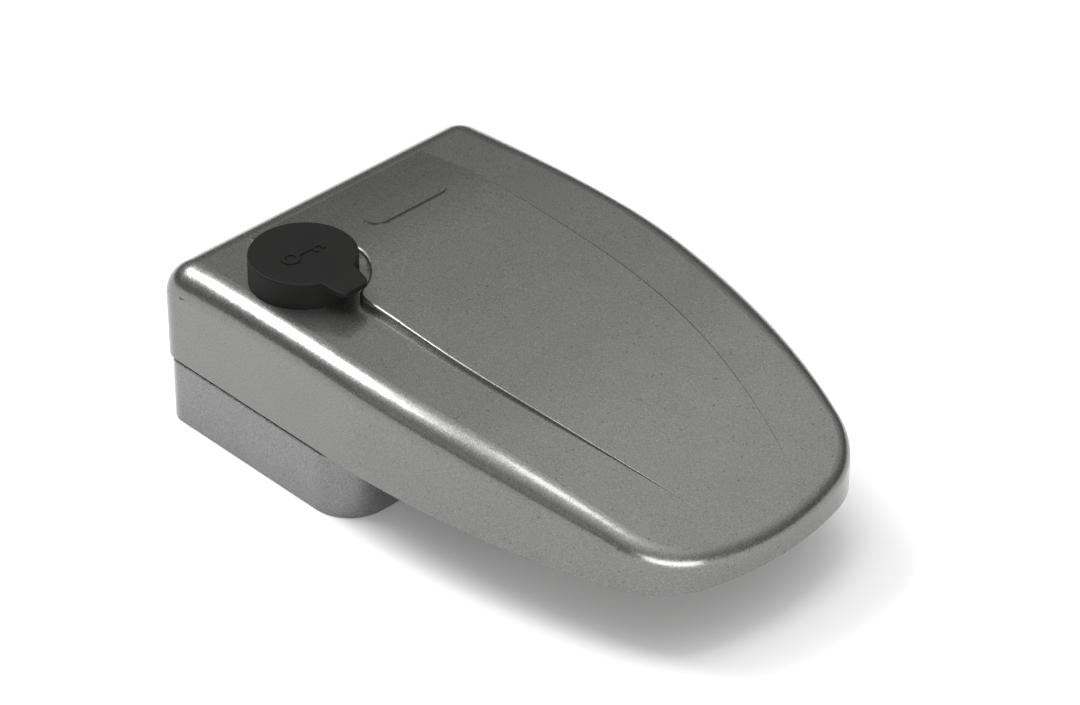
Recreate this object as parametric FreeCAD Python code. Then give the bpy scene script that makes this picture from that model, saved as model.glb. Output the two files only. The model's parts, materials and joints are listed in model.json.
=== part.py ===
import FreeCAD, Part
import math
import os
from FreeCAD import Vector

# Swing-arm door security lock, in millimetres.
# Origin: the pivot axis at the mounting face. +X: the way the arm points when locked. +Z: away from the wall.

# ---- driving dimensions --------------------------------------------------------------------------------
ARM_WIDTH = 110.0
ARM_REAR_X = -37.5
ARM_Z = 20.2                    # underside of the arm
SEAM = 1.4                      # gap between base and arm
WALL = 4.0                      # arm casting
PLATE_T = 2.0

STRAIGHT_LEN = 67.8             # straight part of the arm's sides
SIDE_R, SIDE_TURN = 273.5, math.radians(19.1)
CORNER_R, CORNER_TURN = 24.0, math.radians(74.6)

CROWN_X, CROWN_H = 10.5, 29.8   # highest line of the top, above the arm's underside
CROWN_R, NOSE_R, NOSE_X = 620.0, 213.0, 68.0

REAR_ROUND, NOSE_ROUND = 10.0, 4.5
UPRIGHT_ROUND = 7.0             # rear corners, seen from above

PANEL_HALF = 30.9
PANEL_STRAIGHT_X, PANEL_ARC_R = 38.2, 248.0
PANEL_STEP, PANEL_PEAK_X = 2.4, 6.0
PANEL_REAR_X, PANEL_NOSE_X = -27.5, 124.5
PANEL_CORNER_R = 4.5            # its corners beside the cap

BASE_REAR_X, BASE_FRONT_X = -36.3, 35.9
BASE_HALF = 54.4
BASE_REAR_R, BASE_FRONT_R = 6.0, 12.2
BASE_EDGE = 0.4                 # rounding of the base's upper edge
BASE_H = ARM_Z - SEAM
BASE_WALL, BASE_ROOF = 5.0, 4.5

LOCK_X, LOCK_Y = -2.4, -33.6
CAP_R, CAP_H, CAP_WALL = 14.5, 8.0, 1.7
RECESS_R = 17.2
CAP_TOP_T = 1.8
TAB_REACH, TAB_CORNER_R = 20.6, 2.5
TAB_ROOT_HALF, TAB_TIP_HALF = 5.9, 4.7
TAB_ROOT_T, TAB_TIP_T = 2.2, 1.4

CYL_R = 11.0
RUN = 0.05                      # radial clearance of a running fit
PUSH = 6.0                      # travel of the key cylinder
POP_OUT = 5.2                   # how far it stands out of the arm when unlocked
BOLT_R = 6.5
PLUG_R = 6.5
TONGUE_OUT = 2.4

SHAFT_R, THREAD_R = 8.0, 6.0
STOP_RADIUS, STOP_PIN_R = 19.0, 2.0
INSERT_X, INSERT_Y, INSERT_HOLE_R = 25.0, 43.0, 2.5

# ---- values worked out from them -----------------------------------------------------------------------
HALF = ARM_WIDTH / 2
PLATE_TOP = ARM_Z + PLATE_T
SEAT_Z = ARM_Z + CROWN_H - (CROWN_X - LOCK_X) ** 2 / (2 * CROWN_R)   # top surface at the lock
CAP_TOP = SEAT_Z + CAP_H
HEAD_TOP = SEAT_Z + POP_OUT
CYL_BOTTOM = 36.0
COLLAR_R = CYL_R + 1.4          # cap ring's collar round the cylinder
RING_Z = SEAT_Z - 1.6           # its lower end, where the lock sleeve stops
ABOVE = 90.0                    # higher than every piece
HINGE_R, HINGE_PIN_R = 1.3, 0.6
HINGE_X = LOCK_X - CAP_R - 1.5
HINGE_Z = SEAT_Z + 1.25


# ---- helpers -------------------------------------------------------------------------------------------
def cyl(r, z0, z1, x=0.0, y=0.0):
    return Part.makeCylinder(r, z1 - z0, Vector(x, y, z0))


def ring(r_out, r_in, z0, z1, x=0.0, y=0.0):
    return cyl(r_out, z0, z1, x, y).cut(cyl(r_in, z0 - 1, z1 + 1, x, y))


def box(x0, x1, y0, y1, z0, z1):
    return Part.makeBox(x1 - x0, y1 - y0, z1 - z0, Vector(x0, y0, z0))


def rod_y(r, x, z, y0, y1):
    return Part.makeCylinder(r, y1 - y0, Vector(x, y0, z), Vector(0, 1, 0))


def rod_x(r, y, z, x0, x1):
    return Part.makeCylinder(r, x1 - x0, Vector(x0, y, z), Vector(1, 0, 0))


def line(a, b):
    return Part.LineSegment(a, b).toShape()


def arc(a, mid, b):
    return Part.Arc(a, mid, b).toShape()


def polygon(points):
    closed = [Vector(*p) for p in points]
    return Part.Face(Part.makePolygon(closed + closed[:1]))


def mirrored(v):
    return Vector(v.x, -v.y, v.z)


def hexagon(across_flats, z0, z1, x=0.0, y=0.0):
    r = across_flats / math.sqrt(3)
    points = [(x + r * math.cos(math.pi * k / 3), y + r * math.sin(math.pi * k / 3), z0) for k in range(6)]
    return polygon(points).extrude(Vector(0, 0, z1 - z0))


def fuse(shapes):
    return shapes[0].fuse(shapes[1:]).removeSplitter()


def rounded(shape, edge_radii):
    """Fillet edges with their own radius at each end: (edge number, start radius, end radius)."""
    document = FreeCAD.newDocument("rounding")
    source = document.addObject("Part::Feature", "source")
    source.Shape = shape
    fillet = document.addObject("Part::Fillet", "fillet")
    fillet.Base = source
    fillet.Edges = edge_radii
    document.recompute()
    result = fillet.Shape.copy()
    FreeCAD.closeDocument(document.Name)
    return result


def radial(turn):
    """Unit vector at this angle from +Y towards +X."""
    return Vector(math.sin(turn), math.cos(turn), 0)


# ---- the arm's outside ---------------------------------------------------------------------------------
SIDE_START = Vector(ARM_REAR_X + STRAIGHT_LEN, HALF, 0)
SIDE_CENTRE = SIDE_START - radial(0) * SIDE_R
SIDE_END = SIDE_CENTRE + radial(SIDE_TURN) * SIDE_R
CORNER_CENTRE = SIDE_END - radial(SIDE_TURN) * CORNER_R
CORNER_END = CORNER_CENTRE + radial(CORNER_TURN) * CORNER_R
FRONT_R = CORNER_END.y / math.cos(CORNER_TURN)
FRONT_CENTRE = CORNER_END - radial(CORNER_TURN) * FRONT_R


def arm_outline(inset=0.0):
    """The arm's outline, or one inside it at this distance."""
    rear = Vector(ARM_REAR_X + inset, HALF - inset, 0)
    start = SIDE_START - Vector(0, inset, 0)
    side_mid = SIDE_CENTRE + radial(SIDE_TURN / 2) * (SIDE_R - inset)
    side_end = SIDE_CENTRE + radial(SIDE_TURN) * (SIDE_R - inset)
    corner_mid = CORNER_CENTRE + radial((SIDE_TURN + CORNER_TURN) / 2) * (CORNER_R - inset)
    corner_end = CORNER_CENTRE + radial(CORNER_TURN) * (CORNER_R - inset)
    nose = FRONT_CENTRE + Vector(FRONT_R - inset, 0, 0)
    edges = [line(rear, start), arc(start, side_mid, side_end), arc(side_end, corner_mid, corner_end),
             arc(corner_end, nose, mirrored(corner_end)),
             arc(mirrored(corner_end), mirrored(corner_mid), mirrored(side_end)),
             arc(mirrored(side_end), mirrored(side_mid), mirrored(start)),
             line(mirrored(start), mirrored(rear)), line(mirrored(rear), rear)]
    return Part.Wire(edges)


def arm_prism(inset, z0, z1):
    prism = Part.Face(arm_outline(inset)).extrude(Vector(0, 0, z1 - z0))
    prism.translate(Vector(0, 0, z0))
    return prism


def rear_uprights(prism):
    return [e for e in prism.Edges if e.BoundBox.XMax < ARM_REAR_X + WALL + 1 and e.BoundBox.ZLength > 1
            and e.BoundBox.YLength < 0.01]


NOSE_TURN = math.asin((NOSE_X - CROWN_X) / CROWN_R)
CROWN_CENTRE = Vector(CROWN_X, 0, ARM_Z + CROWN_H - CROWN_R)
NOSE_CENTRE = CROWN_CENTRE + Vector(math.sin(NOSE_TURN), 0, math.cos(NOSE_TURN)) * (CROWN_R - NOSE_R)


def top_z(x, drop=0.0):
    """Height of the arm's top at x, or of a surface this far under it."""
    centre, radius = (CROWN_CENTRE, CROWN_R) if x <= NOSE_X else (NOSE_CENTRE, NOSE_R)
    return centre.z + math.sqrt((radius - drop) ** 2 - (x - centre.x) ** 2)


def slab(edges, highest):
    """What lies over a chain of edges in the XZ plane, across the whole width and up to this height."""
    first = edges[0].Vertexes[0].Point
    last = edges[-1].Vertexes[-1].Point
    above_first = Vector(first.x, 0, highest)
    above_last = Vector(last.x, 0, highest)
    sides = [line(last, above_last), line(above_last, above_first), line(above_first, first)]
    over = Part.Face(Part.Wire(edges + sides)).extrude(Vector(0, 2 * ARM_WIDTH, 0))
    over.translate(Vector(0, -ARM_WIDTH, 0))
    return over


def above_top(drop=0.0):
    def at(x):
        return Vector(x, 0, top_z(x, drop))
    x0 = ARM_REAR_X - 10
    x1 = FRONT_CENTRE.x + FRONT_R + 10
    join = Vector(NOSE_X - drop * math.sin(NOSE_TURN), 0, 0)
    join.z = top_z(join.x, drop)
    return slab([arc(at(x0), at((x0 + join.x) / 2), join), arc(join, at((join.x + x1) / 2), at(x1))], ABOVE)


def panel_step(x):
    """How far the panel stands over the top: rises from the rear, then falls evenly to the nose."""
    if x < PANEL_PEAK_X:
        share = (x - PANEL_REAR_X) / (PANEL_PEAK_X - PANEL_REAR_X)
        return PANEL_STEP * math.sin(share * math.pi / 2)
    return PANEL_STEP * (PANEL_NOSE_X - x) / (PANEL_NOSE_X - PANEL_PEAK_X)


def above_panel():
    count = 20
    first = PANEL_REAR_X - 4
    pitch = (PANEL_NOSE_X + 8 - first) / count
    stations = [first + pitch * k for k in range(count + 1)]
    curve = Part.BSplineCurve()
    curve.interpolate([Vector(x, 0, top_z(x) + panel_step(x)) for x in stations])
    return slab([curve.toShape()], ABOVE)


def panel_outline(z):
    """Straight sides, then arcs that lean in towards the nose."""
    rear = Vector(PANEL_REAR_X - 3, PANEL_HALF, z)
    start = Vector(PANEL_STRAIGHT_X, PANEL_HALF, z)
    centre = Vector(PANEL_STRAIGHT_X, PANEL_HALF - PANEL_ARC_R, z)
    turn = math.asin((PANEL_NOSE_X + 4 - PANEL_STRAIGHT_X) / PANEL_ARC_R)
    end = centre + radial(turn) * PANEL_ARC_R
    mid = centre + radial(turn / 2) * PANEL_ARC_R
    return Part.Wire([line(rear, start), arc(start, mid, end), line(end, mirrored(end)),
                      arc(mirrored(end), mirrored(mid), mirrored(start)),
                      line(mirrored(start), mirrored(rear)), line(mirrored(rear), rear)])


def panel():
    """Raised centre panel, cut away round the cap, with rounded corners there."""
    low = PLATE_TOP + 7
    block = Part.Face(panel_outline(low)).extrude(Vector(0, 0, ABOVE - low))
    block = block.cut(cyl(RECESS_R, 0, ABOVE, LOCK_X, LOCK_Y))
    corners = [e for e in block.Edges if e.BoundBox.ZLength > 1 and abs(e.CenterOfMass.x - LOCK_X) < RECESS_R
               and abs(e.CenterOfMass.y + PANEL_HALF) < 0.01]
    return block.makeFillet(PANEL_CORNER_R, corners).cut(above_panel())


def blank_badge():
    """Plain raised bar on the panel, with round ends."""
    length, width, height = 27.0, 7.5, 0.5
    x, y = -8.5, 7.5
    low = ARM_Z + CROWN_H - WALL
    half_run = (length - width) / 2
    bar = fuse([box(x - width / 2, x + width / 2, y - half_run, y + half_run, low, ABOVE),
                cyl(width / 2, low, ABOVE, x, y - half_run), cyl(width / 2, low, ABOVE, x, y + half_run)])
    top = above_panel()
    top.translate(Vector(0, 0, height))
    return bar.cut(top)


def band_body():
    """The arm's outside without its panel: rounded along the top, most at the rear and least at the nose."""
    body = arm_prism(0, ARM_Z, ABOVE).cut(above_top())
    length = FRONT_CENTRE.x + FRONT_R - ARM_REAR_X

    def radius(point):
        share = max(0.0, (point.x - ARM_REAR_X - REAR_ROUND) / (length - REAR_ROUND))
        return REAR_ROUND - (REAR_ROUND - NOSE_ROUND) * share

    edges = []
    for number, edge in enumerate(body.Edges, 1):
        ends = [edge.valueAt(edge.FirstParameter), edge.valueAt(edge.LastParameter)]
        upright = edge.BoundBox.XLength < 0.01 and edge.BoundBox.YLength < 0.01
        low = edge.BoundBox.ZMin < ARM_Z + 1
        across = edge.BoundBox.XLength < 0.01 and abs(edge.CenterOfMass.x - NOSE_X) < 1
        if upright and ends[0].x < ARM_REAR_X + 0.1:
            edges.append((number, UPRIGHT_ROUND, UPRIGHT_ROUND))
        elif not (upright or low or across):
            edges.append((number, radius(ends[0]), radius(ends[1])))
    return rounded(body, edges)


# ---- arm casting ---------------------------------------------------------------------------------------
SCREW_PLACES = [(-25.0, 42.0), (-25.0, -45.0), (46.0, 42.0), (46.0, -42.0), (92.0, 34.0), (92.0, -34.0),
                (122.0, 0.0)]
SCREW_R, SCREW_HEAD_R, SCREW_LEN = 2.0, 3.8, 12.0
LOCK_BOSS_R, SLEEVE_R = 17.5, 14.2
SHAFT_HEAD_R, SHAFT_HEAD_H, SHAFT_FLATS = 12.0, 7.5, 20.0
GRUB_Z, GRUB_R = 43.0, 1.5
RIB_T, RIB_XS, SPINE_X = 2.5, (30.0, 66.0, 100.0), 15.0
PIVOT_BOSS_R, SCREW_BOSS_R = 17.0, 5.0
CAVITY_ROUND = 7.0


def soft_panel_edges(body):
    """Round the panel's upper edges, in proportion to how far it stands up."""
    share, least, near = 0.38, 0.15, 0.15
    edges = []
    for number, edge in enumerate(body.Edges, 1):
        mid = edge.valueAt((edge.FirstParameter + edge.LastParameter) / 2)
        step = panel_step(mid.x)
        over_top = mid.z - top_z(mid.x)
        on_panel = abs(mid.y) < PANEL_HALF + 0.1 and over_top > 0.02 and abs(over_top - step) < near
        if on_panel and step > 0.05 and edge.BoundBox.XLength > 0.1:
            ends = [edge.valueAt(edge.FirstParameter), edge.valueAt(edge.LastParameter)]
            radii = [max(least, share * panel_step(end.x)) for end in ends]
            edges.append((number, radii[0], radii[1]))
    return rounded(body, edges)


def arm_cavity():
    inside = arm_prism(WALL, ARM_Z - 1, ABOVE)
    inside = inside.makeFillet(CAVITY_ROUND, rear_uprights(inside)).cut(above_top(WALL))
    half = RIB_T / 2
    bosses = [cyl(PIVOT_BOSS_R, PLATE_TOP, ABOVE), cyl(LOCK_BOSS_R, PLATE_TOP, ABOVE, LOCK_X, LOCK_Y)]
    bosses += [cyl(SCREW_BOSS_R, PLATE_TOP, ABOVE, x, y) for x, y in SCREW_PLACES]
    bosses += [box(SPINE_X, FRONT_CENTRE.x + FRONT_R, -half, half, PLATE_TOP + 4, ABOVE)]
    bosses += [box(x - half, x + half, -HALF, HALF, PLATE_TOP + 6, ABOVE) for x in RIB_XS]
    return inside.cut(bosses)


def shaft_head(grow=0.0):
    head = cyl(SHAFT_HEAD_R + grow, PLATE_TOP + 0.1 - grow, PLATE_TOP + SHAFT_HEAD_H + grow)
    half = SHAFT_FLATS / 2 + grow
    return head.common(box(-HALF, HALF, -half, half, 0, ABOVE))


def arm_shell():
    body = soft_panel_edges(band_body().fuse([panel()]).removeSplitter())
    outside = body.fuse([blank_badge()])
    cuts = [arm_cavity(), shaft_head(RUN), cyl(SHAFT_HEAD_R, PLATE_TOP - 1, PLATE_TOP + 0.2),
            cyl(SLEEVE_R, PLATE_TOP - 1, RING_Z, LOCK_X, LOCK_Y),
            cyl(COLLAR_R, RING_Z - 0.4, ABOVE, LOCK_X, LOCK_Y),
            rod_x(GRUB_R, LOCK_Y, GRUB_Z, LOCK_X + SLEEVE_R - 1, LOCK_X + LOCK_BOSS_R + 3)]
    cuts += [cyl(SCREW_R, PLATE_TOP - 1, PLATE_TOP + SCREW_LEN, x, y) for x, y in SCREW_PLACES]
    return outside.cut(cuts).removeSplitter()


def screw_head(x, y):
    return Part.makeCone(SCREW_HEAD_R, SCREW_R, PLATE_T, Vector(x, y, ARM_Z))


def arm_bottom_plate():
    plate = arm_prism(WALL + 0.1, ARM_Z, PLATE_TOP)
    plate = plate.makeFillet(CAVITY_ROUND - 0.1, rear_uprights(plate))
    cuts = [cyl(SHAFT_R + 0.2, 0, ABOVE), cyl(BOLT_R + 0.6, 0, ABOVE, LOCK_X, LOCK_Y),
            cyl(STOP_PIN_R, 0, ABOVE, STOP_RADIUS)]
    cuts += [screw_head(x, y) for x, y in SCREW_PLACES]
    return plate.cut(cuts)


def plate_screws():
    screws = []
    for x, y in SCREW_PLACES:
        shank = cyl(SCREW_R - 0.02, PLATE_TOP - 0.5, PLATE_TOP + SCREW_LEN - 1, x, y)
        socket = hexagon(2.5, ARM_Z - 1, ARM_Z + 1.2, x, y)
        screws.append(fuse([screw_head(x, y), shank]).cut(socket))
    return Part.makeCompound(screws)


def stop_pin():
    return cyl(STOP_PIN_R, BASE_H - 2.6, PLATE_TOP, STOP_RADIUS)


# ---- pivot ---------------------------------------------------------------------------------------------
WEB_Z = 9.5                     # underside of the web that the pivot nut pulls against
WASHER_Z = BASE_H - 1.3         # floor of the thrust washer's recess
SHAFT_END_Z = 0.8
BUSH_R = SHAFT_R + 2.5
WASHER_R = 15.5
NUT_AF, NUT_Z0, NUT_Z1 = 19.0, 0.9, 6.6
FLAT_WASHER_R, FLAT_WASHER_T = 12.0, 1.4


def pivot_shaft():
    shaft = fuse([shaft_head(), cyl(SHAFT_R, WEB_Z, PLATE_TOP + 1), cyl(THREAD_R, SHAFT_END_Z, WEB_Z + 1)])
    ends = [e for e in shaft.Edges if e.BoundBox.ZMax < SHAFT_END_Z + 0.01]
    return shaft.makeChamfer(0.6, ends)


def pivot_bush():
    return ring(BUSH_R, SHAFT_R + RUN, WEB_Z, WASHER_Z - RUN)


def thrust_washer():
    return ring(WASHER_R, SHAFT_R + RUN, WASHER_Z, ARM_Z - 0.03)


def disc_spring():
    """Dished spring washer: high at its inner edge."""
    inner, outer, thick, dish = THREAD_R + 0.1, 11.8, 0.8, 0.6
    low = WEB_Z - 0.1 - thick - dish
    section = polygon([(inner, 0, low + dish), (outer, 0, low), (outer, 0, low + thick),
                       (inner, 0, low + thick + dish)])
    return section.revolve(Vector(), Vector(0, 0, 1), 360)


def flat_washer():
    return ring(FLAT_WASHER_R, THREAD_R + 0.1, NUT_Z1, NUT_Z1 + FLAT_WASHER_T)


def pivot_nut():
    """Hexagon nut, its corners rounded off on the outer face."""
    nut = hexagon(NUT_AF, NUT_Z0, NUT_Z1).cut(cyl(THREAD_R, 0, ABOVE))
    corner_r = NUT_AF / math.sqrt(3)
    height = NUT_Z1 - NUT_Z0
    crown = Part.makeCone(corner_r - 1.2, corner_r - 1.2 + height / math.tan(math.radians(30)), height,
                          Vector(0, 0, NUT_Z0))
    return nut.common(crown)


# ---- base ----------------------------------------------------------------------------------------------
NUT_POCKET_R = 16.0
SOCKET_R, SOCKET_HOLE_R, SOCKET_FLOOR, SOCKET_T = 9.5, 7.0, 11.0, 1.5
SOCKET_PLACES = {"latch_socket_closed": (LOCK_X, LOCK_Y), "latch_socket_open": (-LOCK_X, -LOCK_Y)}
INSERT_R, INSERT_LEN = 5.0, 13.0
GASKET_EDGE, GASKET_W, GASKET_T = 1.6, 2.0, 1.2
PIVOT_HUB_R, SOCKET_HUB_R, INSERT_HUB_R = 22.0, 12.5, 8.0
BASE_RIB_T = 3.0
GROOVE_DEPTH = 3.0


def base_prism(inset, z0, z1):
    """The base's outline as a prism: small radii at the rear, large ones where the arm passes over."""
    prism = box(BASE_REAR_X + inset, BASE_FRONT_X - inset, -BASE_HALF + inset, BASE_HALF - inset, z0, z1)
    upright = [e for e in prism.Edges if e.BoundBox.ZLength > 0.5 and e.BoundBox.XLength < 0.1
               and e.BoundBox.YLength < 0.1]
    rear = [e for e in upright if e.CenterOfMass.x < 0]
    prism = prism.makeFillet(max(BASE_REAR_R - inset, 1.0), rear)
    front = [e for e in prism.Edges if e.BoundBox.XMin > BASE_FRONT_X - inset - 0.1
             and e.BoundBox.XLength < 0.1 and e.BoundBox.YLength < 0.1]
    return prism.makeFillet(BASE_FRONT_R - inset, front)


def insert_places():
    return [(sx * INSERT_X, sy * INSERT_Y) for sx in (-1, 1) for sy in (-1, 1)]


def base_cavity():
    inside = base_prism(BASE_WALL, -1, BASE_H - BASE_ROOF)
    half = BASE_RIB_T / 2
    solid = [cyl(PIVOT_HUB_R, -2, ABOVE), box(-HALF, HALF, -half, half, 4, ABOVE)]
    solid += [cyl(SOCKET_HUB_R, -2, ABOVE, x, y) for x, y in SOCKET_PLACES.values()]
    solid += [cyl(INSERT_HUB_R, -2, ABOVE, x, y) for x, y in insert_places()]
    solid += [box(x - half, x + half, -HALF, HALF, 6, ABOVE) for x in (-INSERT_X, INSERT_X)]
    return inside.cut(solid)


def stop_groove():
    """Half ring that the stop pin runs in, from the closed end of the swing to the open end."""
    half = STOP_PIN_R + 0.4
    floor = BASE_H - GROOVE_DEPTH
    groove = ring(STOP_RADIUS + half, STOP_RADIUS - half, floor, ABOVE)
    groove = groove.common(box(-HALF, HALF, 0, HALF, 0, ABOVE))
    ends = [cyl(half, floor, ABOVE, side * STOP_RADIUS) for side in (-1, 1)]
    return groove.fuse(ends)


def gasket_ring():
    return base_prism(GASKET_EDGE, 0, GASKET_T).cut(base_prism(GASKET_EDGE + GASKET_W, -1, GASKET_T + 1))


def base_housing():
    block = base_prism(0, 0, BASE_H)
    rim = [e for e in block.Edges if e.BoundBox.ZMin > BASE_H - 0.01]
    block = block.makeFillet(BASE_EDGE, rim)
    cuts = [base_cavity(), gasket_ring(), stop_groove(), cyl(NUT_POCKET_R, -1, WEB_Z), cyl(BUSH_R, 0, ABOVE),
            cyl(WASHER_R + 0.2, WASHER_Z, ABOVE)]
    cuts += [cyl(SOCKET_R, SOCKET_FLOOR - SOCKET_T, ABOVE, x, y) for x, y in SOCKET_PLACES.values()]
    cuts += [cyl(INSERT_R, -1, INSERT_LEN, x, y) for x, y in insert_places()]
    return block.cut(cuts)


def latch_socket(x, y):
    """Hardened cup that the latch bolt drops into, with a lead-in at its mouth."""
    lead = 1.5
    socket = cyl(SOCKET_R, SOCKET_FLOOR - SOCKET_T, BASE_H - 0.1, x, y)
    mouth = Part.makeCone(SOCKET_HOLE_R, SOCKET_HOLE_R + lead, lead, Vector(x, y, BASE_H - lead))
    return socket.cut([cyl(SOCKET_HOLE_R, SOCKET_FLOOR, ABOVE, x, y), mouth])


def fixing_inserts():
    inserts = []
    for x, y in insert_places():
        insert = ring(INSERT_R, INSERT_HOLE_R, 0.1, INSERT_LEN, x, y)
        groove = ring(INSERT_R + 1, INSERT_R - 0.6, 5.5, 7.0, x, y)
        inserts.append(insert.cut(groove))
    return Part.makeCompound(inserts)


# ---- key cylinder --------------------------------------------------------------------------------------
TONGUE_Z, TONGUE_T, TONGUE_HALF = 37.2, 3.0, 3.2
PLUG_BOTTOM = TONGUE_Z + TONGUE_T + 0.1
CLIP_TOP = PLUG_BOTTOM + 1.6
CRANK_PIN_R = 1.0
SLEEVE_BOTTOM, SLEEVE_LIP = PLATE_TOP, 2.0
FLANGE_T = 3.0
SPRING_R, WIRE_R, SPRING_TURNS = 8.8, 0.4, 2.2
BOLT_SCREW_R, BOLT_SCREW_HEAD_R, BOLT_SCREW_AT = 1.0, 1.9, 8.7
O_RING_Z = HEAD_TOP - 3.4


def tongue_space(reach):
    """Room for the tongue, from the cylinder's far side out to this distance from the axis."""
    half = TONGUE_HALF + RUN
    return box(LOCK_X - half, LOCK_X + half, LOCK_Y - PLUG_R - 1.7, LOCK_Y + reach, TONGUE_Z - RUN,
               TONGUE_Z + TONGUE_T + RUN)


def lock_sleeve():
    """Steel liner of the lock's bore, with a notch for the tongue at each end of the push."""
    sleeve = cyl(SLEEVE_R, SLEEVE_BOTTOM, RING_Z, LOCK_X, LOCK_Y)
    bore = cyl(CYL_R + RUN, SLEEVE_BOTTOM + SLEEVE_LIP, ABOVE, LOCK_X, LOCK_Y)
    guide = cyl(BOLT_R + RUN, 0, ABOVE, LOCK_X, LOCK_Y)
    room = 0.2
    half = TONGUE_HALF + room
    reach = LOCK_Y + CYL_R + TONGUE_OUT + room
    notches = [box(LOCK_X - half, LOCK_X + half, LOCK_Y, reach, z - room, z + TONGUE_T + room)
               for z in (TONGUE_Z, TONGUE_Z - PUSH)]
    grub = rod_x(GRUB_R, LOCK_Y, GRUB_Z, LOCK_X, LOCK_X + SLEEVE_R + 1)
    return sleeve.cut([bore, guide, grub] + notches)


def sleeve_grub_screw():
    x0 = LOCK_X + CYL_R - 1.4
    screw = rod_x(GRUB_R, LOCK_Y, GRUB_Z, x0, LOCK_X + LOCK_BOSS_R - 0.5)
    socket = rod_x(0.8, LOCK_Y, GRUB_Z, LOCK_X + LOCK_BOSS_R - 2.5, LOCK_X + LOCK_BOSS_R)
    return screw.cut(socket)


def guide_slot():
    """Groove in the cylinder's side for the grub screw's nose, as long as the push."""
    half = GRUB_R + 0.1
    x0 = LOCK_X + CYL_R - 1.6
    x1 = LOCK_X + CYL_R + 2
    return fuse([box(x0, x1, LOCK_Y - half, LOCK_Y + half, GRUB_Z, GRUB_Z + PUSH),
                 rod_x(half, LOCK_Y, GRUB_Z, x0, x1), rod_x(half, LOCK_Y, GRUB_Z + PUSH, x0, x1)])


def lock_cylinder():
    body = cyl(CYL_R, CYL_BOTTOM, HEAD_TOP, LOCK_X, LOCK_Y)
    face = [e for e in body.Edges if e.BoundBox.ZMin > HEAD_TOP - 0.01]
    body = body.makeChamfer(0.8, face)
    cuts = [cyl(PLUG_R + RUN, CLIP_TOP, ABOVE, LOCK_X, LOCK_Y),
            cyl(PLUG_R + 1.9, TONGUE_Z - RUN, CLIP_TOP, LOCK_X, LOCK_Y),
            cyl(PLUG_R - 1, CYL_BOTTOM - 1, TONGUE_Z, LOCK_X, LOCK_Y),
            tongue_space(CYL_R + 5), guide_slot(),
            ring(CYL_R + 1, CYL_R - 1.0, O_RING_Z - 0.85, O_RING_Z + 0.85, LOCK_X, LOCK_Y)]
    cuts += [cyl(BOLT_SCREW_R, CYL_BOTTOM - 1, CYL_BOTTOM + 1.1, x, y) for x, y in bolt_screw_places()]
    return body.cut(cuts)


def cylinder_o_ring():
    return Part.makeTorus(CYL_R - 0.36, 0.34, Vector(LOCK_X, LOCK_Y, O_RING_Z))


def bolt_screw_places():
    return [(LOCK_X + side * BOLT_SCREW_AT, LOCK_Y) for side in (-1, 1)]


def latch_bolt():
    flange = cyl(CYL_R - 0.1, CYL_BOTTOM - FLANGE_T, CYL_BOTTOM, LOCK_X, LOCK_Y)
    shank = cyl(BOLT_R, ARM_Z + 0.2, CYL_BOTTOM - 1, LOCK_X, LOCK_Y)
    tip = [e for e in shank.Edges if e.BoundBox.ZMax < ARM_Z + 0.3]
    bolt = fuse([flange, shank.makeChamfer(1.0, tip)])
    for x, y in bolt_screw_places():
        sink = cyl(BOLT_SCREW_HEAD_R, ARM_Z, CYL_BOTTOM - FLANGE_T + 1.2, x, y)
        bolt = bolt.cut([cyl(BOLT_SCREW_R, ARM_Z, ABOVE, x, y), sink])
    return bolt


def bolt_screws():
    screws = []
    for x, y in bolt_screw_places():
        low = CYL_BOTTOM - FLANGE_T
        head = cyl(BOLT_SCREW_HEAD_R - 0.1, low + 0.1, low + 1.2, x, y)
        shank = cyl(BOLT_SCREW_R - 0.02, low + 1, CYL_BOTTOM + 1.0, x, y)
        screws.append(fuse([head, shank]).cut(hexagon(1.3, ARM_Z, low + 0.8, x, y)))
    return Part.makeCompound(screws)


def return_spring():
    low = SLEEVE_BOTTOM + SLEEVE_LIP + WIRE_R + 0.02
    high = CYL_BOTTOM - FLANGE_T - WIRE_R - 0.02
    pitch = (high - low) / SPRING_TURNS
    path = Part.makeLongHelix(pitch, high - low, SPRING_R)
    section = Part.Wire(Part.makeCircle(WIRE_R, Vector(SPRING_R, 0, 0), Vector(0, 1, 0)))
    coil = Part.Wire(path).makePipeShell([section], True, True)
    coil.translate(Vector(LOCK_X, LOCK_Y, low))
    return coil


def locking_tongue():
    plate = box(LOCK_X - TONGUE_HALF, LOCK_X + TONGUE_HALF, LOCK_Y - 5.6, LOCK_Y + CYL_R - 0.2, TONGUE_Z,
                TONGUE_Z + TONGUE_T)
    crank_y = LOCK_Y - TONGUE_OUT / 2
    half = CRANK_PIN_R + 0.1
    slot = box(LOCK_X - 2.9, LOCK_X + 0.3, crank_y - half, crank_y + half, 0, ABOVE)
    return plate.common(cyl(CYL_R - 0.1, 0, ABOVE, LOCK_X, LOCK_Y)).cut(slot)


KEYWAY_HALF, KEYWAY_FLOOR = 0.7, 43.0
WAFER_FIRST, WAFER_PITCH, WAFER_COUNT, WAFER_T = 44.5, 2.0, 4, 0.8
WAFER_HALF_X, WAFER_HALF_Y = 2.6, 5.0
WAFER_ZS = [WAFER_FIRST + WAFER_PITCH * k for k in range(WAFER_COUNT)]


def keyway():
    return box(LOCK_X - KEYWAY_HALF, LOCK_X + KEYWAY_HALF, LOCK_Y - 4.4, LOCK_Y + 4.0, KEYWAY_FLOOR, ABOVE)


def wafer_block(z, grow=0.0):
    half_x = WAFER_HALF_X + grow
    half_y = WAFER_HALF_Y + grow
    top = z + WAFER_T + grow
    return box(LOCK_X - half_x, LOCK_X + half_x, LOCK_Y - half_y, LOCK_Y + half_y, z - grow, top)


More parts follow.
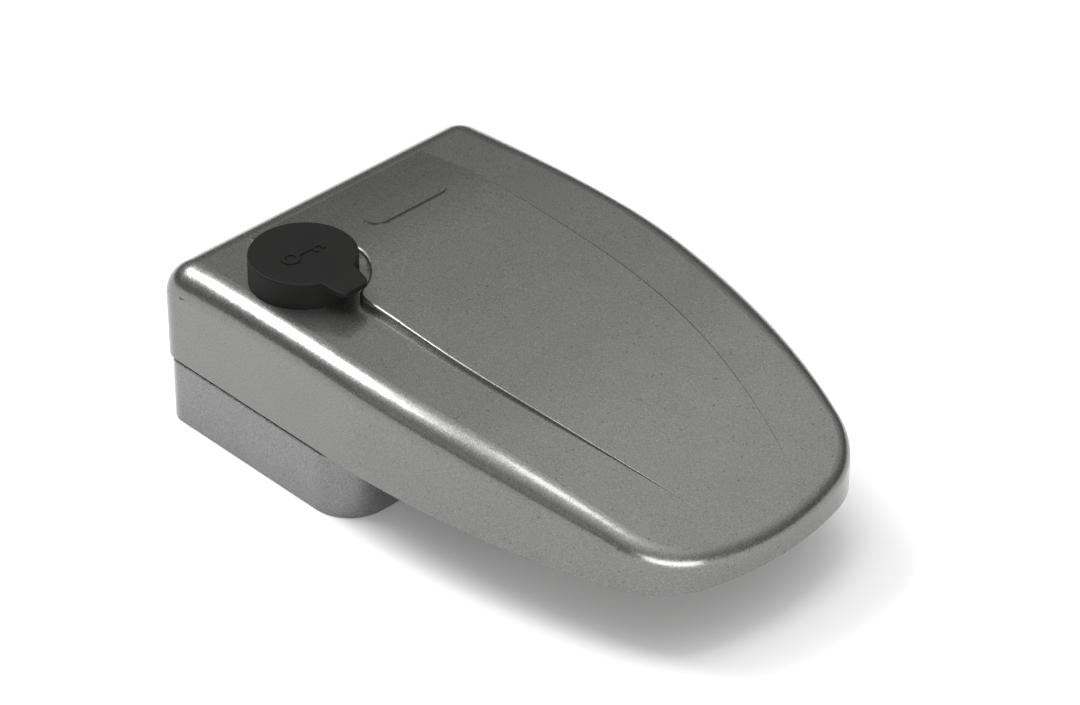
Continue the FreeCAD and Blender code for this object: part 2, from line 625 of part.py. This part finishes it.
def wafer(z):
    window = box(LOCK_X - 1.1, LOCK_X + 1.1, LOCK_Y - 3.0, LOCK_Y + 3.4, z - 1, z + 2)
    return wafer_block(z).cut(window)


def lock_plug():
    plug = cyl(PLUG_R, CLIP_TOP, HEAD_TOP - 0.3, LOCK_X, LOCK_Y)
    stub = cyl(PLUG_R - 1.2, PLUG_BOTTOM, CLIP_TOP + 1, LOCK_X, LOCK_Y)
    pin = cyl(CRANK_PIN_R, TONGUE_Z + 0.1, PLUG_BOTTOM + 1, LOCK_X - TONGUE_OUT / 2, LOCK_Y - TONGUE_OUT / 2)
    return fuse([plug, stub, pin]).cut([keyway()] + [wafer_block(z, 0.02) for z in WAFER_ZS])


def plug_clip():
    clip = ring(PLUG_R + 1.5, PLUG_R - 1.2, CLIP_TOP - 1.3, CLIP_TOP - 0.1, LOCK_X, LOCK_Y)
    return clip.cut(box(LOCK_X + 2, LOCK_X + 12, LOCK_Y - 2.5, LOCK_Y + 2.5, 0, ABOVE))


def tumbler_wafers():
    return Part.makeCompound([wafer(z) for z in WAFER_ZS])


# ---- cap -----------------------------------------------------------------------------------------------
EAR_OUT, EAR_IN, KNUCKLE_HALF = 3.2, 1.9, 1.7
EAR_TOP = SEAT_Z + 0.9
CAP_EDGE_R = 0.4


def raised_band(gap):
    """The arm's top, lifted by a gap, to cut what sits on it."""
    body = band_body()
    body.translate(Vector(0, 0, gap))
    return body


def tab():
    """Finger tab: flat under, its top falling towards a square tip with rounded corners."""
    root_x = LOCK_X + CAP_R - 1.4
    tip_x = LOCK_X + TAB_REACH
    inner_x = root_x - 2.6
    z0 = CAP_TOP - TAB_ROOT_T
    near = [(inner_x, LOCK_Y - TAB_ROOT_HALF, z0), (root_x, LOCK_Y - TAB_ROOT_HALF, z0),
            (tip_x, LOCK_Y - TAB_TIP_HALF, z0)]
    far = [(x, 2 * LOCK_Y - y, z) for x, y, z in reversed(near)]
    outline = polygon(near + far)
    solid = outline.extrude(Vector(0, 0, TAB_ROOT_T))
    corners = [e for e in solid.Edges if e.BoundBox.ZLength > 1 and e.CenterOfMass.x > tip_x - 0.1]
    solid = solid.makeFillet(TAB_CORNER_R, corners)
    fall_x = LOCK_X + CAP_R
    low = CAP_TOP - TAB_ROOT_T + TAB_TIP_T
    bevel = polygon([(fall_x, LOCK_Y - CAP_R, CAP_TOP), (tip_x, LOCK_Y - CAP_R, low),
                     (tip_x, LOCK_Y - CAP_R, CAP_TOP + 1), (fall_x, LOCK_Y - CAP_R, CAP_TOP + 1)])
    return solid.cut(bevel.extrude(Vector(0, 2 * CAP_R, 0)))


def key_sign():
    """Generic key pictogram, raised on the cap's top."""
    z0 = CAP_TOP - 0.2
    z1 = CAP_TOP + 0.3
    bow_y = LOCK_Y - 4.2
    stem = box(LOCK_X - 0.5, LOCK_X + 0.5, bow_y + 1.9, LOCK_Y + 6.0, z0, z1)
    teeth = [box(LOCK_X, LOCK_X + 2.2, LOCK_Y + y, LOCK_Y + y + 1.0, z0, z1) for y in (2.6, 5.0)]
    return fuse([ring(2.6, 1.5, z0, z1, LOCK_X, bow_y), stem] + teeth)


def cap_lid():
    """Cup with a finger tab, open below, shaped to the arm it sits on."""
    cup = fuse([cyl(CAP_R, SEAT_Z - 6, CAP_TOP, LOCK_X, LOCK_Y), tab()])
    inner_corners = [e for e in cup.Edges if 1 < e.BoundBox.ZLength < TAB_ROOT_T + 0.1
                     and abs(math.hypot(e.CenterOfMass.x - LOCK_X, e.CenterOfMass.y - LOCK_Y) - CAP_R) < 0.3]
    cup = cup.makeFillet(1.6, inner_corners)
    upper_edges = [e for e in cup.Edges if e.BoundBox.ZMin > CAP_TOP - TAB_ROOT_T + TAB_TIP_T - 0.05]
    cup = cup.makeFillet(CAP_EDGE_R, upper_edges)
    hollow = cyl(CAP_R - CAP_WALL, SEAT_Z - 10, CAP_TOP - CAP_TOP_T, LOCK_X, LOCK_Y)
    strip_notch = box(HINGE_X - 2, LOCK_X - 8, LOCK_Y - EAR_OUT - 0.2, LOCK_Y + EAR_OUT + 0.2, SEAT_Z - 8,
                      SEAT_Z + 1.0)
    neck = box(HINGE_X, HINGE_X + 3, LOCK_Y - KNUCKLE_HALF, LOCK_Y + KNUCKLE_HALF, HINGE_Z - 0.1,
               HINGE_Z + HINGE_R)
    knuckle = rod_y(HINGE_R, HINGE_X, HINGE_Z, LOCK_Y - KNUCKLE_HALF, LOCK_Y + KNUCKLE_HALF)
    cup = cup.cut([hollow, strip_notch, raised_band(RUN)])
    lid = fuse([cup, neck, knuckle, key_sign()])
    pin_hole = rod_y(HINGE_PIN_R + 0.03, HINGE_X, HINGE_Z, LOCK_Y - 5, LOCK_Y + 5)
    return lid.cut([hollow, pin_hole])


def cap_ring():
    """Collar pressed into the arm round the cylinder, with the two ears of the cap's hinge."""
    collar = cyl(COLLAR_R, RING_Z, SEAT_Z + 2.5, LOCK_X, LOCK_Y)
    ears = []
    for side in (-1, 1):
        y0 = LOCK_Y + min(side * EAR_IN, side * EAR_OUT)
        y1 = y0 + EAR_OUT - EAR_IN
        ears.append(rod_y(HINGE_R, HINGE_X, HINGE_Z, y0, y1))
        ears.append(box(HINGE_X, LOCK_X - CYL_R, y0, y1, SEAT_Z - 3, EAR_TOP))
    strip = box(LOCK_X - CAP_R, LOCK_X - CYL_R, LOCK_Y - EAR_OUT, LOCK_Y + EAR_OUT, SEAT_Z - 3, EAR_TOP)
    outside = fuse(ears + [strip]).cut(band_body())
    bore = cyl(CYL_R + 0.3, SEAT_Z - 10, SEAT_Z + 10, LOCK_X, LOCK_Y)
    pin_hole = rod_y(HINGE_PIN_R, HINGE_X, HINGE_Z, LOCK_Y - 5, LOCK_Y + 5)
    return fuse([collar, outside]).cut([bore, pin_hole])


def cap_hinge_pin():
    return rod_y(HINGE_PIN_R, HINGE_X, HINGE_Z, LOCK_Y - EAR_OUT, LOCK_Y + EAR_OUT)


# ---- write the nodes -----------------------------------------------------------------------------------
def nodes():
    parts = {
        "base_housing": base_housing(),
        "base_gasket": gasket_ring(),
        "fixing_inserts": fixing_inserts(),
        "pivot_bush": pivot_bush(),
        "thrust_washer": thrust_washer(),
        "arm_shell": arm_shell(),
        "arm_bottom_plate": arm_bottom_plate(),
        "plate_screws": plate_screws(),
        "pivot_shaft": pivot_shaft(),
        "disc_spring": disc_spring(),
        "flat_washer": flat_washer(),
        "pivot_nut": pivot_nut(),
        "stop_pin": stop_pin(),
        "lock_sleeve": lock_sleeve(),
        "sleeve_grub_screw": sleeve_grub_screw(),
        "lock_cylinder": lock_cylinder(),
        "latch_bolt": latch_bolt(),
        "bolt_screws": bolt_screws(),
        "cylinder_o_ring": cylinder_o_ring(),
        "return_spring": return_spring(),
        "lock_plug": lock_plug(),
        "plug_clip": plug_clip(),
        "tumbler_wafers": tumbler_wafers(),
        "locking_tongue": locking_tongue(),
        "cap_ring": cap_ring(),
        "cap_hinge_pin": cap_hinge_pin(),
        "cap_lid": cap_lid(),
    }
    for name, (x, y) in SOCKET_PLACES.items():
        parts[name] = latch_socket(x, y)
    return parts


def main():
    os.makedirs("parts", exist_ok=True)
    for name, shape in nodes().items():
        volume = shape.Volume / 1000
        print(f"{name:20s} valid {shape.isValid()}, {len(shape.Solids)} solid(s), {volume:.3f} cm3")
        shape.exportStep(f"parts/{name}.step")


main()
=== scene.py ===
import json
import math

import bpy
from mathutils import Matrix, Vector


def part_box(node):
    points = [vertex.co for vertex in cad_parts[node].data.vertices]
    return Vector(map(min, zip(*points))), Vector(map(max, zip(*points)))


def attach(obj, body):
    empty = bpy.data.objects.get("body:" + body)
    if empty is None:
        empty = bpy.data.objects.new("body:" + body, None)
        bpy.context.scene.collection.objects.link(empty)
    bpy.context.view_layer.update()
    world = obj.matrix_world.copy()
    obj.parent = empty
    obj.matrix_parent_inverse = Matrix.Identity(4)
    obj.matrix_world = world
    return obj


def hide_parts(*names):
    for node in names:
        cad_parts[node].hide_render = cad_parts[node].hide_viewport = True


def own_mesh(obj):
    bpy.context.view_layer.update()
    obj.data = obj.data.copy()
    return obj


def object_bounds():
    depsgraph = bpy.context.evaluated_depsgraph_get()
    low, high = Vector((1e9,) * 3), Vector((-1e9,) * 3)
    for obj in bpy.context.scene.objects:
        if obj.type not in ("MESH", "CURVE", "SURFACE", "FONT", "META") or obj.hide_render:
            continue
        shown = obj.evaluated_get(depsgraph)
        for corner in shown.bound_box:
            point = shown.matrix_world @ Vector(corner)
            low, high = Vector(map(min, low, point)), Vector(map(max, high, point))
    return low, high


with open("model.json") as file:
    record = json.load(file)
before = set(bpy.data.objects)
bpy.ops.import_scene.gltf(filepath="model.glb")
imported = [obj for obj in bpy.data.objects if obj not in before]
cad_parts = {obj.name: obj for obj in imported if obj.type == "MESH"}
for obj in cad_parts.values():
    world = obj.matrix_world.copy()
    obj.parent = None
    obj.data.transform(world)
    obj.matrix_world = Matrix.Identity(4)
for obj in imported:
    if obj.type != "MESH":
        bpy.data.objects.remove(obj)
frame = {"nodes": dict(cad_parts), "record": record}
CAD_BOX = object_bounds()
MM = 0.001


# ---- node helpers --------------------------------------------------------------------------------------
def new_material(name):
    material = bpy.data.materials.new(name)
    material.use_nodes = True
    tree = material.node_tree
    shader = tree.nodes["Principled BSDF"]
    return material, tree, shader


def add(tree, kind, **inputs):
    node = tree.nodes.new(kind)
    for name, value in inputs.items():
        node.inputs[name.replace("_", " ")].default_value = value
    return node


def place(tree):
    """Position in the object's own metres."""
    return tree.nodes.new("ShaderNodeTexCoord").outputs["Object"]


def noise(tree, size, detail=2.0, rough=0.5, stretch=(1.0, 1.0, 1.0)):
    """Noise whose features are about this many metres across, longer along an axis with stretch over 1."""
    node = add(tree, "ShaderNodeTexNoise", Scale=1.0 / size, Detail=detail, Roughness=rough)
    mapping = tree.nodes.new("ShaderNodeMapping")
    mapping.inputs["Scale"].default_value = [1.0 / s for s in stretch]
    tree.links.new(place(tree), mapping.inputs["Vector"])
    tree.links.new(mapping.outputs["Vector"], node.inputs["Vector"])
    return node.outputs["Fac"]


def ramp(tree, source, low, high, out_low=0.0, out_high=1.0):
    node = tree.nodes.new("ShaderNodeMapRange")
    tree.links.new(source, node.inputs["Value"])
    node.inputs["From Min"].default_value = low
    node.inputs["From Max"].default_value = high
    node.inputs["To Min"].default_value = out_low
    node.inputs["To Max"].default_value = out_high
    return node.outputs["Result"]


def shade(colour, times):
    return tuple(times * c for c in colour)


def mix(tree, share, a, b):
    """Colour b over colour a, by share. Each is a colour or a socket."""
    node = tree.nodes.new("ShaderNodeMix")
    node.data_type = "RGBA"
    tree.links.new(share, node.inputs["Factor"])
    for name, colour in (("A", a), ("B", b)):
        socket = [s for s in node.inputs if s.name == name and s.type == "RGBA"][0]
        if isinstance(colour, tuple):
            socket.default_value = (*colour, 1.0)
        else:
            tree.links.new(colour, socket)
    return [s for s in node.outputs if s.type == "RGBA"][0]


def bump(tree, shader, source, height, strength=1.0):
    node = tree.nodes.new("ShaderNodeBump")
    node.inputs["Strength"].default_value = strength
    node.inputs["Distance"].default_value = height
    tree.links.new(source, node.inputs["Height"])
    tree.links.new(node.outputs["Normal"], shader.inputs["Normal"])


# ---- materials -----------------------------------------------------------------------------------------
PAINT_FLAKE = 0.42 * MM         # light grain of the paint
PAINT_PORE = 0.5 * MM           # dark grain of the paint
PAINT_FLECK = 1.0 * MM          # sparse dark specks
PAINT_CLOUD = 16 * MM           # slow change of tone over a casting
TOOL_MARK = 0.22 * MM
METAL_STAIN = 4 * MM
PLATING_CRYSTAL = 0.9 * MM
PLATING_CLOUD = 5 * MM
PLATING_ORANGE_PEEL = 0.3 * MM
PLASTIC_PATCH = 6 * MM


def metallic_paint(name, base):
    """Powder coat with fine light and dark flakes under a clear coat."""
    material, tree, shader = new_material(name)
    shader.inputs["Metallic"].default_value = 0.85
    shader.inputs["Coat Weight"].default_value = 0.5
    shader.inputs["Coat Roughness"].default_value = 0.07
    grain = noise(tree, PAINT_FLAKE, 2.0, 0.7)
    light_grain = ramp(tree, grain, 0.50, 0.66, 0.0, 0.30)
    dark_grain = ramp(tree, noise(tree, PAINT_PORE, 2.0, 0.7), 0.50, 0.68, 0.0, 0.34)
    dark_fleck = ramp(tree, noise(tree, PAINT_FLECK, 1.0), 0.70, 0.76, 0.0, 0.6)
    cloud = ramp(tree, noise(tree, PAINT_CLOUD, 3.0), 0.3, 0.7)
    clouded = mix(tree, cloud, shade(base, 0.96), shade(base, 1.04))
    darker = mix(tree, dark_grain, clouded, shade(base, 0.3))
    lighter = mix(tree, light_grain, darker, shade(base, 2.2))
    colour = mix(tree, dark_fleck, lighter, shade(base, 0.3))
    tree.links.new(colour, shader.inputs["Base Color"])
    tree.links.new(ramp(tree, grain, 0.3, 0.7, 0.25, 0.35), shader.inputs["Roughness"])
    bump(tree, shader, grain, 0.012 * MM, 0.5)
    return material


def worked_metal(name, colour, rough, marks, depth=0.004 * MM):
    """Bare metal with fine tool marks, which run along the axes that marks is large on."""
    material, tree, shader = new_material(name)
    shader.inputs["Metallic"].default_value = 1.0
    lines = noise(tree, TOOL_MARK, 3.0, 0.65, marks)
    stain = noise(tree, METAL_STAIN, 4.0)
    clean = mix(tree, ramp(tree, stain, 0.35, 0.65), shade(colour, 0.85), colour)
    tint = mix(tree, ramp(tree, lines, 0.35, 0.7, 0.0, 0.35), clean, shade(colour, 0.6))
    tree.links.new(tint, shader.inputs["Base Color"])
    tree.links.new(ramp(tree, lines, 0.3, 0.7, 0.75 * rough, 1.3 * rough), shader.inputs["Roughness"])
    bump(tree, shader, lines, depth)
    return material


def plated_metal(name, colour, rough):
    """Zinc-plated or blackened metal: cloudy, with a faint crystalline mottle."""
    material, tree, shader = new_material(name)
    shader.inputs["Metallic"].default_value = 1.0
    cells = add(tree, "ShaderNodeTexVoronoi", Scale=1.0 / PLATING_CRYSTAL, Randomness=1.0)
    tree.links.new(place(tree), cells.inputs["Vector"])
    mottle = ramp(tree, cells.outputs["Distance"], 0.0, 0.8, 0.0, 0.3)
    cloud = ramp(tree, noise(tree, PLATING_CLOUD, 4.0, 0.6), 0.3, 0.7)
    clouded = mix(tree, cloud, shade(colour, 0.82), colour)
    tree.links.new(mix(tree, mottle, clouded, shade(colour, 0.7)), shader.inputs["Base Color"])
    tree.links.new(ramp(tree, cloud, 0.0, 1.0, 0.8 * rough, 1.25 * rough), shader.inputs["Roughness"])
    bump(tree, shader, noise(tree, PLATING_ORANGE_PEEL, 3.0, 0.6), 0.005 * MM)
    return material


def moulded_plastic(name, colour, rough, grain_size, grain_depth):
    """Moulded plastic or rubber with a fine spark-eroded grain."""
    material, tree, shader = new_material(name)
    shader.inputs["Specular IOR Level"].default_value = 0.12
    grain = noise(tree, grain_size, 2.5, 0.6)
    patch = ramp(tree, noise(tree, PLASTIC_PATCH, 3.0), 0.3, 0.7, 0.0, 0.5)
    patched = mix(tree, patch, colour, shade(colour, 0.8))
    tint = mix(tree, ramp(tree, grain, 0.35, 0.65, 0.0, 0.6), patched, shade(colour, 1.7))
    tree.links.new(tint, shader.inputs["Base Color"])
    tree.links.new(ramp(tree, grain, 0.3, 0.7, 1.15 * rough, 0.85 * rough), shader.inputs["Roughness"])
    bump(tree, shader, grain, grain_depth)
    return material


TURNED = (25.0, 25.0, 1.0)      # marks that run round an upright part
ROLLED = (30.0, 1.0, 1.0)       # marks along the arm
DRAWN = (1.0, 1.0, 1.0)         # no direction

MATERIALS = {
    "arm_paint": metallic_paint("arm_paint_look", (0.156, 0.155, 0.151)),
    "base_paint": metallic_paint("base_paint_look", (0.166, 0.167, 0.169)),
    "rubber": moulded_plastic("rubber_look", (0.012, 0.012, 0.012), 0.8, 0.7 * MM, 0.03 * MM),
    "brass": worked_metal("brass_look", (0.70, 0.50, 0.22), 0.28, TURNED),
    "white_plastic": moulded_plastic("white_plastic_look", (0.62, 0.62, 0.58), 0.45, 0.8 * MM, 0.01 * MM),
    "hard_steel": worked_metal("hard_steel_look", (0.36, 0.36, 0.37), 0.33, TURNED),
    "steel": plated_metal("steel_look", (0.58, 0.58, 0.56), 0.3),
    "black_steel": plated_metal("black_steel_look", (0.05, 0.05, 0.055), 0.42),
    "spring_steel": worked_metal("spring_steel_look", (0.42, 0.42, 0.44), 0.25, DRAWN),
    "zinc_plate": worked_metal("zinc_plate_look", (0.50, 0.50, 0.49), 0.4, ROLLED),
    "lock_chrome": worked_metal("lock_chrome_look", (0.66, 0.66, 0.68), 0.16, TURNED, 0.002 * MM),
    "black_plastic": moulded_plastic("black_plastic_look", (0.008, 0.008, 0.008), 0.55, 0.5 * MM, 0.02 * MM),
    "black_cap": moulded_plastic("black_cap_look", (0.0055, 0.0055, 0.0052), 0.5, 0.45 * MM, 0.03 * MM),
}


# ---- pieces --------------------------------------------------------------------------------------------
def dress_cad_nodes():
    slots = {p["node"]: p["material_slot"] for p in frame["record"]["subparts"]}
    for name, node in frame["nodes"].items():
        node.data.materials.clear()
        node.data.materials.append(MATERIALS[slots[name]])


def return_spring():
    """The same spring, as a copy carried by the arm next to its seat, shown in place of the rigid CAD
    spring.
    """
    rigid = frame["nodes"]["return_spring"]
    coil = bpy.data.objects.new("return_spring_coil", rigid.data.copy())
    coil.matrix_world = rigid.matrix_world.copy()
    bpy.context.scene.collection.objects.link(coil)
    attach(coil, "arm")
    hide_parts("return_spring")
    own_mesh(coil)


# ---- stage ---------------------------------------------------------------------------------------------
AZIMUTH, ELEVATION = 0.805, 0.617       # radians
DISTANCE = 1.191
TARGET_X, TARGET_Y = 0.03385, 0.0165
LENS_MM, SENSOR_MM = 150.0, 36.0


def camera():
    target = Vector((TARGET_X, TARGET_Y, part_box("arm_shell")[0].z))
    flat = math.cos(ELEVATION)
    back = Vector((math.sin(AZIMUTH) * flat, -math.cos(AZIMUTH) * flat, math.sin(ELEVATION)))
    data = bpy.data.cameras.new("camera")
    data.lens = LENS_MM
    data.sensor_width = SENSOR_MM
    data.clip_start = 0.01
    eye = bpy.data.objects.new("camera", data)
    eye.location = target + back * DISTANCE
    eye.rotation_euler = back.to_track_quat("Z", "Y").to_euler()
    bpy.context.scene.collection.objects.link(eye)
    bpy.context.scene.camera = eye


def softbox(name, direction, distance, width, height, radiance):
    """Rectangular light that faces the lock from this direction. Its power follows from its brightness."""
    data = bpy.data.lights.new(name, "AREA")
    data.shape = "RECTANGLE"
    data.size = width
    data.size_y = height
    data.energy = radiance * math.pi * width * height
    lamp = bpy.data.objects.new(name, data)
    lamp.location = Vector(direction).normalized() * distance
    lamp.rotation_euler = Vector(direction).to_track_quat("Z", "Y").to_euler()
    bpy.context.scene.collection.objects.link(lamp)


HORIZON_GLOW, ZENITH_GLOW = 0.03, 2.1
GLOW_STEEPNESS = 2.6


def sky():
    """Pale overhead, dark towards the horizon, so that the rounded edges show."""
    world = bpy.data.worlds.new("studio")
    world.use_nodes = True
    tree = world.node_tree
    parts = tree.nodes.new("ShaderNodeSeparateXYZ")
    tree.links.new(tree.nodes.new("ShaderNodeTexCoord").outputs["Generated"], parts.inputs["Vector"])
    height = ramp(tree, parts.outputs["Z"], 0.0, 1.0)
    steep = tree.nodes.new("ShaderNodeMath")
    steep.operation = "POWER"
    steep.inputs[1].default_value = GLOW_STEEPNESS
    tree.links.new(height, steep.inputs[0])
    glow = ramp(tree, steep.outputs["Value"], 0.0, 1.0, HORIZON_GLOW, ZENITH_GLOW)
    tree.links.new(glow, tree.nodes["Background"].inputs["Strength"])
    tree.nodes["Background"].inputs["Color"].default_value = (1.0, 1.0, 1.0, 1.0)
    bpy.context.scene.world = world


FLOOR_SIZE = 8.0
FLOOR_GAP = 0.0002              # keeps the floor clear of the base's underside
FLOOR_GREY = 0.72


def floor():
    bpy.ops.mesh.primitive_plane_add(size=FLOOR_SIZE, location=(0, 0, CAD_BOX[0][2] - FLOOR_GAP))
    plane = bpy.context.object
    plane.name = "floor"
    material, _, shader = new_material("floor_look")
    shader.inputs["Base Color"].default_value = (FLOOR_GREY, FLOOR_GREY, FLOOR_GREY, 1.0)
    shader.inputs["Roughness"].default_value = 0.9
    plane.data.materials.append(material)


# name, direction from the lock, distance, width, height, brightness
LIGHTS = (
    ("edge_light", (-0.60, -0.22, 0.77), 1.9, 1.0, 0.9, 11.0),
    ("side_fill", (-0.10, -0.95, 0.30), 1.6, 1.4, 0.5, 0.5),
    ("front_fill", (0.95, -0.35, 0.19), 1.2, 1.2, 0.42, 8.0),
    ("top_light", (0.04, -0.08, 1.0), 1.6, 0.55, 0.55, 6.0),
)


def stage():
    bpy.context.scene.view_settings.view_transform = "Standard"
    sky()
    floor()
    for light in LIGHTS:
        softbox(*light)


dress_cad_nodes()
return_spring()
camera()
stage()
